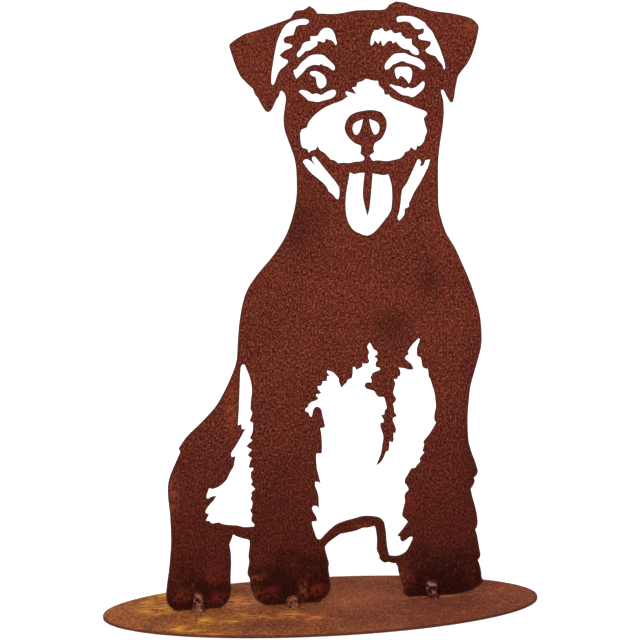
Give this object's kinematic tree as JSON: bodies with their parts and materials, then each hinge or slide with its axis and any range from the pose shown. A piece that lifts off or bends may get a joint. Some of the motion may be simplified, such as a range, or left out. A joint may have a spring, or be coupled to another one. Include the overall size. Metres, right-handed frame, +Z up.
{
  "type": "dog silhouette garden figure",
  "caption": "Sitting terrier cut as one flat silhouette from rusted sheet steel, its face cut through like a stencil, standing upright on an oval steel base plate.",
  "frame": {"origin": "middle of the base plate's underside, on the surface it stands on", "axes": "+Z up the standing sheet, +Y from the dog's front to its back, +X across the front towards the dog's upright foreleg"},
  "size_m": [0.32, 0.148, 0.4345],
  "materials": {
    "sheet_rust": "matte",
    "base_rust": "matte",
    "weld_rust": "satin"
  },
  "bodies": {
    "root": {"dog_silhouette": "sheet_rust", "base_plate": "base_rust", "hind_paw_weld": "weld_rust", "left_forepaw_weld": "weld_rust", "right_forepaw_weld": "weld_rust"}
  },
  "joints": []
}
